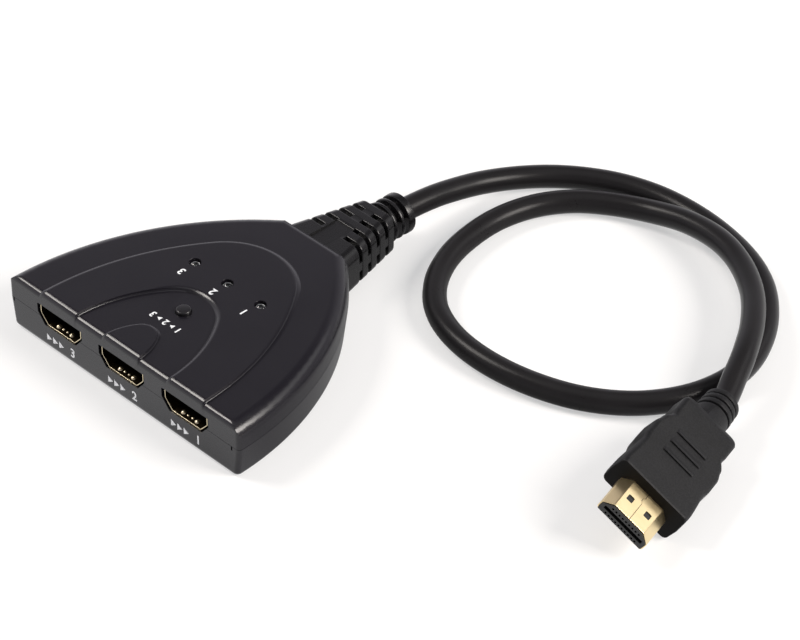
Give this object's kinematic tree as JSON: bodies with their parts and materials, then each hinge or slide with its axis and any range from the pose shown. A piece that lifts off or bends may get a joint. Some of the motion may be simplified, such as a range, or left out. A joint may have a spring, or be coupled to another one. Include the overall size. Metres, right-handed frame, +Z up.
{
  "type": "video switch box",
  "caption": "Flat fan-shaped video switch box with a row of input sockets, a select button, indicator lamps and a captive looped cable ending in a plug.",
  "frame": {"origin": "centre of the case's footprint, on the surface that it stands on", "axes": "+X along the socket face towards input 1, +Y from the sockets towards the cable, +Z up"},
  "size_m": [0.1668, 0.1499, 0.0185],
  "materials": {
    "case": "satin black, lightly textured",
    "button": "satin black",
    "gilt": "bright gilt sheet",
    "contacts": "bright gilt",
    "insulator": "matt black",
    "lamp": "clear moulded dome",
    "tin": "tinned",
    "screw": "dark plated",
    "board": "green lacquer over laminate",
    "chip": "matt black mould",
    "capacitor": "fired ceramic",
    "relief": "satin black",
    "cable": "smooth satin black",
    "wire": "smooth",
    "grip": "fine matt grain"
  },
  "bodies": {
    "case": {"top_cover": "case", "bottom_cover": "case", "cover_screws": "screw", "circuit_board": "board", "switch_chip": "chip", "memory_chips": "chip", "chip_capacitors": "capacitor", "key_base": "insulator", "key_terminals": "tin", "key_dome": "tin", "key_cover": "tin", "lamp_leads": "tin", "strain_relief": "relief", "cable_wires": "wire", "cable_jacket": "cable", "plug_grip": "grip", "plug_shell": "gilt", "plug_core": "insulator", "plug_contacts": "contacts", "socket_shell_1": "gilt", "socket_core_1": "insulator", "socket_contacts_1": "contacts", "lamp_1": "lamp", "socket_shell_2": "gilt", "socket_core_2": "insulator", "socket_contacts_2": "contacts", "lamp_2": "lamp", "socket_shell_3": "gilt", "socket_core_3": "insulator", "socket_contacts_3": "contacts", "lamp_3": "lamp"},
    "button": {"select_button": "button", "key_plunger": "button"}
  },
  "joints": [
    {"name": "button_press", "type": "slide", "parent": "case", "child": "button", "axis": [0, 0, -1], "range_m": [0, 0.00025], "stiffness_N_per_m": 5000, "deforming": ["key_dome"]}
  ]
}
